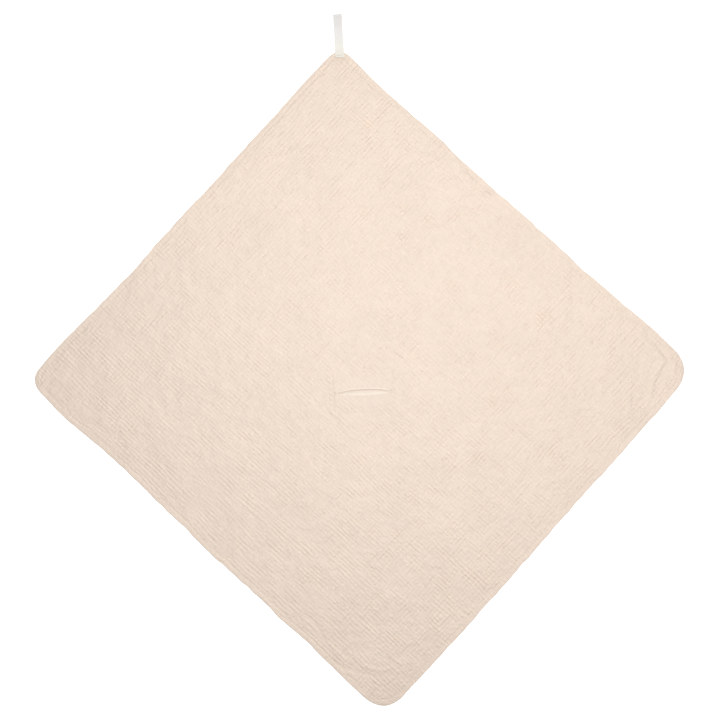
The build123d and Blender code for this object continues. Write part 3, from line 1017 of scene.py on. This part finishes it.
# How far each point across a lip takes the paler colour, a painted highlight along the crest of its
# roll, from the cloth to the inside.
LIP_PAINTED_HIGHLIGHT = {
    "upper": (0.0, 0.0, 0.0, 0.4, 0.9, 0.9, 0.6, 0.1, 0.0, 0.0, 0.0, 0.0),
    "lower": (0.0, 0.0, 0.1, 0.6, 0.9, 0.7, 0.2, 0.0, 0.0, 0.0, 0.0, 0.0),
}


def lip(name, upper):
    """A turned edge of the slit: it rises from the cloth, rolls over and goes back inside."""
    steps = 92
    reach = SLIT_HALF + LIP_OVERRUN
    x = SLIT_MIDDLE_X + reach * np.sin(np.linspace(-math.pi / 2, math.pi / 2, steps))
    low, high = slit_edges(x)
    y = high if upper else low
    side = 1 if upper else -1
    outward = unit(np.column_stack((-np.gradient(y, x), np.ones(steps))) * side)
    taper = np.clip(1 - np.abs((x - SLIT_MIDDLE_X) / reach) ** 9, 0.15, 1)
    wander = 0.12 * np.sin(x / MM * 0.9) + 0.10 * np.sin(x / MM * 0.37 + 1.0)
    # The cloth's height beside the slit, averaged over a few steps each way.
    few = 6
    span = 2 * few + 1
    cloth = on_cloth(np.column_stack((x, y + side * 2.5 * MM)))[:, 2]
    cloth = np.convolve(np.pad(cloth, few, mode="edge"), np.ones(span) / span, mode="valid")
    spine = np.column_stack((x, y, cloth))
    # How wide a dark line the lower lip leaves beside the upper one, in millimetres.
    shadow = 1.4 + 0.8 * smooth_step(-x, -10 * MM, 30 * MM)
    shapes = []
    for k in range(steps):
        puff = 1 + wander[k]
        gap = (high[k] - low[k]) / MM
        if upper:
            shape = [
                (5.0, -0.70), (4.1, -0.18), (3.2, 0.20 * puff), (2.3, 0.50 * puff),
                (1.3, 0.66 * puff), (0.5, 0.62 * puff), (0.05, 0.30), (-0.05, -0.35),
                (0.1, -0.9), (0.6, -1.25), (1.6, -1.4), (3.2, -1.4),
            ]
        else:
            fall = max(min(shadow[k], 0.75 * gap), 0.5 * shadow[k])
            edge = fall - gap
            inner = 1.2 - edge
            shape = [
                (4.6, -0.70), (3.7, -0.16), (2.9, 0.16 * puff), (2.0, 0.42 * puff),
                (1.2, 0.56 * puff), (edge + 0.75 * inner, 0.46 * puff), (edge + 0.45 * inner, 0.24),
                (edge + 0.2 * inner, 0.12), (edge, -0.05), (edge - 0.4 * fall, -1.0),
                (edge - 0.7 * fall, -1.7), (-gap - 0.6, -1.9),
            ]
        shapes.append(shape)
    piece = swept(name, spine, outward, np.array(shapes) * MM, taper)
    # The paler colour along each lip's crest is a painted highlight.
    mark_points(piece, np.tile(LIP_PAINTED_HIGHLIGHT["upper" if upper else "lower"], steps))
    if upper:
        piece.data.flip_normals()
    return piece


upper_lip = dress(lip("slit_upper_lip_roll", True), "lip_cotton", "centre")
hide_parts("slit_upper_lip")
lower_lip = dress(lip("slit_lower_lip_roll", False), "lip_cotton", "centre")
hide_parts("slit_lower_lip")


def end_tacks():
    """A dense bar of thread across each end of the slit."""
    low, high = node_box("slit_end_tacks")
    middles, ways = [], []
    rows = 21
    inset = 0.8 * MM
    for x in (low[0] + inset, high[0] - inset):
        for k in range(rows):
            middles.append((x, low[1] + (high[1] - low[1]) * (k + 0.5) / rows))
            ways.append((1.0, 0.16 if k % 2 else -0.16, 0.0))
    points = on_cloth(np.array(middles))
    points[:, 2] = np.maximum(points[:, 2], FLAT_TOP - 0.2 * MM) + 0.25 * MM
    return stitches("slit_bar_tacks", points, ways, 1.9 * MM, radius=0.27 * MM)


tacks = dress(end_tacks(), "thread", "centre")
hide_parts("slit_end_tacks")


def facing_patch():
    """The patch between the layers that the lips are turned from, open along the slit."""
    low, high = node_box("slit_facing")
    columns, rows = 109, 69  # points, 1 mm apart
    x, y = np.meshgrid(np.linspace(low[0], high[0], columns), np.linspace(low[1], high[1], rows))
    # It lies a little lower than in the CAD, clear of the muslin's grooves.
    middle_z = (low[2] + high[2]) / 2 - 0.6 * MM
    z = middle_z + 0.12 * MM * wrinkle_noise(31, x.shape, 1 * MM, 9 * MM, 0.4)
    quads = grid_quads(rows, columns)
    used, faces = only_used(quads[~in_slit(x, y).ravel()[quads].any(axis=1)])
    points = np.column_stack((x.ravel(), y.ravel(), z.ravel()))[used]
    return new_object("slit_facing_patch", points, faces, uv=points[:, :2])


patch = dress(facing_patch(), "facing_muslin", "centre")
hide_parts("slit_facing")

# ==== The hood, which lies under its corner ====
SEAM_INSET = 1.0 * MM
HOOD_STEP = 2.0 * MM
HOOD_LOW, HOOD_HIGH = node_box("hood_panel")
outline_at_seam = inset_outline(SEAM_INSET)
# From the left corner's end of the upper left side, round the hood corner, to the right corner.
HOOD_SEAM = np.vstack((outline_at_seam[-2:-1], outline_at_seam[: ARC_STEPS + 1]))


def seam_y(x):
    """The sewn seam that the hood ends at, in plan, left and right of the hood corner."""
    return np.interp(x, HOOD_SEAM[:, 0], HOOD_SEAM[:, 1])


def front_y(x, shift=0.0):
    """The hood's front edge in plan, moved towards the hood corner by shift."""
    across = x - HOOD_ARC_CENTRE[0]
    return HOOD_ARC_CENTRE[1] - np.sqrt(HOOD_ARC_RADIUS**2 - across**2) + shift


def cut_tube(name, rings, uv, first, last, closed=True):
    """A piece from rings first to last, shaded as part of the whole tube. Where it isn't closed, it
    is a strip whose two long edges stay apart."""
    count, around = rings.shape[:2]
    whole = grid_quads(count, around, ringed=True)
    normals = vertex_normals(rings.reshape(-1, 3), whole).reshape(rings.shape)
    kept = last - first + 1
    quads = grid_quads(kept, around, ringed=True)
    if closed:
        half = np.arange(around // 2 - 1)
        lid = np.column_stack((half, around - 1 - half, around - 2 - half, half + 1))
        end = (kept - 1) * around
        quads = np.vstack((quads, lid, lid[:, ::-1] + end))
    else:
        # A face that would join the two long edges spans two whole rings of points.
        quads = quads[quads.max(axis=1) - quads.min(axis=1) < 2 * around - 1]
    span = slice(first, last + 1)
    return new_object(
        name,
        rings[span].reshape(-1, 3),
        quads,
        uv=uv[span].reshape(-1, 2),
        normals=normals[span].reshape(-1, 3),
    )


def hood_panel_rings():
    """Rings across the hood, one at each x: along its underside and back along its upper side.
    Their cloth coordinates and the x of each come with them."""
    rows = 104
    x = np.arange(HOOD_LOW[0] + 1.5 * MM, HOOD_HIGH[0] - 1.0 * MM, HOOD_STEP)
    share = np.linspace(0, 1, rows)
    front, seam = front_y(x, 0.6 * MM), seam_y(x)
    y = front[:, None] + (seam - front)[:, None] * share[None, :]
    plan = np.dstack(np.broadcast_arrays(x[:, None], y))
    a, b = cloth_coordinates(plan)
    crinkle = read_grid(hood_crinkle, a, b)
    calm = smooth_step(np.minimum(y - front[:, None], seam[:, None] - y), 0, 12 * MM)
    under = HOOD_LOW[2] + 0.25 * MM + 0.24 * MM * crinkle * (0.35 + 0.65 * calm)
    over = HOOD_HIGH[2] - 0.15 * MM + 0.20 * MM * crinkle * calm
    lower = np.dstack((plan, np.maximum(under, 0.05 * MM)))
    upper = np.dstack((plan, over))[:, ::-1]
    uv = np.dstack((a * LENGTH_A, b * LENGTH_B))
    return np.concatenate((lower, upper), axis=1), np.concatenate((uv, uv[:, ::-1]), axis=1), x


field_shape = (outer.rows + 1, outer.columns + 1)
hood_crinkle = (
    0.55 * wrinkle_noise(41, field_shape, OUTER_CELL, 6.5 * MM, 0.2, math.pi / 2, 0.25)
    + 0.45 * wrinkle_noise(42, field_shape, OUTER_CELL, 8 * MM, 0.25, 0.0, 0.25)
    + 0.40 * wrinkle_noise(43, field_shape, OUTER_CELL, 10 * MM, 0.45)
)

panel_rings, panel_uv, panel_x = hood_panel_rings()
hood_middle = int(np.argmin(np.abs(panel_x - HOOD_TIP[0])))


def open_with_hood(piece):
    """Bakes a half of the hood's placement into its own points."""
    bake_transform(piece)


def dress_half(half, material):
    dress(half, material)
    open_with_hood(half)
    return half


panel_spans = {"left": (0, hood_middle), "right": (hood_middle, len(panel_x) - 1)}
hood_halves = {}
for side, (first, last) in panel_spans.items():
    half = cut_tube(f"hood_panel_{side}", panel_rings, panel_uv, first, last)
    hood_halves[side] = dress_half(half, "hood_muslin")
    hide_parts("hood_panel")

# Round the folded strip: how far behind the hood's front edge, and the height, in millimetres.
# BINDING_SQUEEZE flattens it.
BINDING_SQUEEZE = 0.84
BINDING_SHAPE = (
    (9.0, 0.35), (6.4, 0.10), (3.2, 0.00), (0.8, 0.12), (-0.2, 0.55), (-0.5, 1.1),
    (-0.2, 1.65), (0.8, 2.08), (3.2, 2.20), (6.4, 2.10), (9.0, 1.85),
)


def hood_binding_rings():
    """Rings of the folded strip over the hood's front edge."""
    x = np.arange(HOOD_LOW[0] + 2.5 * MM, HOOD_HIGH[0] - 2.0 * MM, HOOD_STEP)
    middle = int(np.argmin(np.abs(x - HOOD_TIP[0])))
    y = front_y(x)
    front = np.column_stack((x, y))
    inward = unit(HOOD_ARC_CENTRE - front)
    shape = np.array(BINDING_SHAPE) * MM
    walked, around = distance_along(front), distance_along(shape)
    ripple = 0.10 * MM * np.sin(walked / (4.1 * MM)) + 0.08 * MM * np.sin(walked / (9.7 * MM) + 2)
    room = np.clip((seam_y(x) - y) / (9.5 * MM), 0.15, 1)
    rings = np.zeros((len(x), len(shape), 3))
    behind = (shape[:, 0] * room[:, None])[..., None]
    rings[..., :2] = front[:, None] + inward[:, None] * behind
    pressed = np.where(shape[:, 0] > 5 * MM, 0.3, 1.0)
    centre = BINDING_TOP / 2
    rings[..., 2] = centre + (shape[:, 1] - 1.1 * MM) * BINDING_SQUEEZE + ripple[:, None] * pressed
    uv = np.dstack(np.broadcast_arrays(walked[:, None], around[None, :]))
    return rings, uv, middle


binding_rings, binding_uv, binding_middle = hood_binding_rings()
binding_spans = {"left": (0, binding_middle), "right": (binding_middle, len(binding_rings) - 1)}
for side, (first, last) in binding_spans.items():
    name = f"hood_binding_{side}"
    half = cut_tube(name, binding_rings, binding_uv, first, last, closed=False)
    dress_half(half, "binding")
    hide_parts("hood_binding")


def binding_stitches(side, first, last):
    """The row of stitches along the underside of a half of the binding."""
    lower = binding_rings[first : last + 1, 1]
    middles, ways = along_path(lower[:, :2], 3.6 * MM)
    z = np.interp(middles[:, 0], lower[:, 0], lower[:, 2]) + 0.22 * MM
    points = np.column_stack((middles, z))
    ways = np.column_stack((ways, np.zeros(len(ways))))
    name = f"hood_binding_stitches_{side}"
    piece = stitches(name, points, -ways, 2.8 * MM, radius=0.25 * MM, bow=-0.6)
    return dress_half(piece, "thread")


binding_threads = {side: binding_stitches(side, *span) for side, span in binding_spans.items()}

# ==== The hanging loop ====
LOOP_BASE = Vector(JOINTS["loop_flip"]["pos_m"])
LOOP_LEAN = Vector((-0.4, 67.0, 0.0)).normalized()
SEWN_LOW, SEWN_HIGH = node_box("loop_sewn_end")
LOOP_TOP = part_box("hanging_loop")[1][2]
TAPE_WIDTH = 15 * MM
TAPE_THICK = (SEWN_HIGH[2] - SEWN_LOW[2]) / 2
SEWN_END = 7 * MM
NOSE_RADIUS = 2 * MM  # of the loop's turn at its far end
LOOP_REACH = 67 * MM
PRESSED = 8 * MM  # how far past the sewn end the two layers lie together


def tape_line():
    """The middle of the tape's thickness, as (distance from the fold, height), from end to end."""
    half = TAPE_THICK / 2
    nose = LOOP_REACH - NOSE_RADIUS
    rise = SEWN_LOW[2]

    def underside(s):
        return rise * (1 - np.clip(s, 0, None) / nose)

    sewn = np.linspace(-SEWN_END, 0, 6)[:-1]
    run = np.linspace(0, nose, 34)
    lower = [(s, underside(s) + half) for s in np.concatenate((sewn, run))]
    turn = np.radians(np.linspace(-90, 90, 13))[1:-1]
    bend = NOSE_RADIUS - half
    tip = [(nose + bend * math.cos(t), NOSE_RADIUS + bend * math.sin(t)) for t in turn]
    ends = (nose, 2 * NOSE_RADIUS - half), (PRESSED, underside(PRESSED) + 3 * half)
    centre, radius = arc_through(ends[0], (LOOP_REACH / 2, LOOP_TOP - half), ends[1])
    angles = [math.atan2(end[1] - centre[1], end[0] - centre[0]) for end in ends]
    arc = [
        (centre[0] + radius * math.cos(t), centre[1] + radius * math.sin(t))
        for t in np.linspace(*angles, 34)
    ]
    pressed = [(s, underside(s) + 3 * half) for s in np.linspace(PRESSED, -SEWN_END, 12)[1:]]
    return np.array(lower + tip + arc + pressed)


def tape_rings():
    """Rings round the tape, which is flat, with firm round selvedges and a slight cup; and how far
    along the loop each point lies."""
    line = tape_line()
    for _ in range(3):
        line[1:-1] = (line[:-2] + 2 * line[1:-1] + line[2:]) / 4
    ahead, back = np.vstack((line[1:], line[-1:])), np.vstack((line[:1], line[:-1]))
    along = unit(ahead - back)
    out = np.column_stack((along[:, 1], -along[:, 0]))
    walked = distance_along(line)
    half_width, half = TAPE_WIDTH / 2, TAPE_THICK / 2
    # One ring, in shares of the half width and the half thickness.
    across = (-0.97, -0.85, -0.55, 0.0, 0.55, 0.85, 0.97)
    thick = (0.95, 1.0, 0.82, 0.80, 0.82, 1.0, 0.95)
    face = np.column_stack((across, thick))
    shape = np.vstack((face, ((1.0, 0.5), (1.0, -0.5))))
    shape = np.vstack((shape, -shape))
    side = np.array(LOOP_LEAN.cross(Vector((0, 0, 1))))
    lean = np.array(LOOP_LEAN)
    sway = 0.22 * MM * np.sin(walked / (17 * MM) + 0.6) + 0.12 * MM * np.sin(walked / (6.3 * MM))
    cup = 0.10 * MM * np.sin(walked / (11 * MM))
    sideways = shape[:, 0] * half_width + sway[:, None]
    thickness = shape[:, 1] * half + cup[:, None] * (1 - shape[:, 0] ** 2)
    along_loop = line[:, :1] + out[:, :1] * thickness
    rings = np.zeros(along_loop.shape + (3,))
    plan = np.array(LOOP_BASE)[:2] + side[:2] * sideways[..., None]
    rings[..., :2] = plan + lean[:2] * along_loop[..., None]
    rings[..., 2] = line[:, 1:] + out[:, 1:] * thickness
    around = distance_along(shape * (half_width, half))
    uv = np.dstack(np.broadcast_arrays(around[None, :], walked[:, None]))
    return rings, uv, along_loop


loop_rings, loop_uv, loop_along = tape_rings()
loop_tape = cut_tube("hanging_loop_tape", loop_rings, loop_uv, 0, len(loop_rings) - 1)
dress(loop_tape, "tape")
mark_points(loop_tape, 1 - smooth_step(loop_along, 6 * MM, 30 * MM))
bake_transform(loop_tape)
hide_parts("hanging_loop", "loop_sewn_end")


def loop_bar_tack():
    """The dense bar of thread across the tape's sewn end."""
    side = LOOP_LEAN.cross(Vector((0, 0, 1)))
    middle = Vector((LOOP_BASE.x, LOOP_BASE.y, SEWN_HIGH[2])) - LOOP_LEAN * SEWN_END / 2
    count = 19
    points, ways = [], []
    for k in range(count):
        shift = (k / (count - 1) - 0.5) * 12 * MM
        points.append(middle + side * shift + Vector((0, 0, 0.02 * MM)))
        ways.append(LOOP_LEAN + side * (0.18 if k % 2 else -0.18))
    return stitches("loop_bar_tack", points, ways, 2.0 * MM)


bar_tack = dress(loop_bar_tack(), "tape_thread", "hood_corner")
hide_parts("loop_tack")

# ==== What is sewn onto each piece ====
sewn_on = {quarter: [piece] for quarter, piece in topstitch_pieces.items()}
sewn_on["middle"] = [box_stitch, tacks, upper_lip, lower_lip]
for side, (first, last) in panel_spans.items():
    half = hood_halves[side]


# ==== Floor, light and camera ====
def make_floor():
    """A plain pale table top whose far rim curves up into a backdrop."""
    around = 96
    flat_radius = 12.0
    curve = 4.0
    angles = np.arange(around) * 2 * math.pi / around
    rings = []
    for turn in np.radians(range(0, 91, 6)):
        radius = flat_radius + curve * math.sin(turn)
        z = np.full(around, curve - curve * math.cos(turn))
        rings.append(np.column_stack((radius * np.cos(angles), radius * np.sin(angles), z)))
    quads = grid_quads(len(rings), around, ringed=True)[:, ::-1]
    backdrop = new_object("backdrop", np.vstack(rings), quads)
    disc = new_object(FLOOR, rings[0], [tuple(range(around))], smooth=False)
    material = bpy.data.materials.new("white_floor")
    material.use_nodes = True
    shader = material.node_tree.nodes["Principled BSDF"]
    shader.inputs["Base Color"].default_value = (0.8, 0.8, 0.8, 1)
    shader.inputs["Roughness"].default_value = 0.9
    shader.inputs["Specular IOR Level"].default_value = 0.1
    shader.inputs["Emission Color"].default_value = (1, 1, 1, 1)
    shader.inputs["Emission Strength"].default_value = 0.55
    # The glow only whitens the floor in the picture, so it isn't sampled as a lamp's light is.
    material.cycles.emission_sampling = "NONE"
    for obj in (disc, backdrop):
        obj.data.materials.append(material)


def add_light(name, place_at, aim_at, size, energy):
    light = bpy.data.lights.new(name, "AREA")
    light.shape = "DISK"
    light.size = size
    light.energy = energy
    obj = bpy.data.objects.new(name, light)
    obj.location = place_at
    obj.rotation_euler = (Vector(aim_at) - Vector(place_at)).to_track_quat("-Z", "Y").to_euler()
    obj.visible_camera = False
    bpy.context.scene.collection.objects.link(obj)


def set_world(strength):
    world = bpy.data.worlds.new("studio")
    world.use_nodes = True
    background = world.node_tree.nodes["Background"]
    background.inputs["Color"].default_value = (1, 1, 1, 1)
    background.inputs["Strength"].default_value = strength
    bpy.context.scene.world = world


def add_camera():
    """Straight above; the cloth's hood corner is turned a little from the top of the picture."""
    picture_width = 1.2204  # on the cloth, in metres
    height = 3.0
    camera = bpy.data.cameras.new("camera")
    camera.sensor_width = 36.0
    camera.lens = camera.sensor_width * height / picture_width
    camera.clip_start = 0.05
    camera.clip_end = 50.0
    obj = bpy.data.objects.new("camera", camera)
    obj.location = (0.0016, -0.0008, height)
    obj.rotation_euler = (0, 0, math.radians(-2.57))
    bpy.context.scene.collection.objects.link(obj)
    bpy.context.scene.camera = obj


make_floor()
add_light("overhead", (0.10, 0.21, 1.8), (0.10, 0.21, 0.0), 0.45, 31)
add_light("side", (1.2, -1.0, 1.8), (0.0, 0.0, 0.0), 0.5, 4.8)
set_world(0.182)
add_camera()
bpy.context.scene.view_settings.view_transform = "Standard"
bpy.context.scene.view_settings.look = "None"
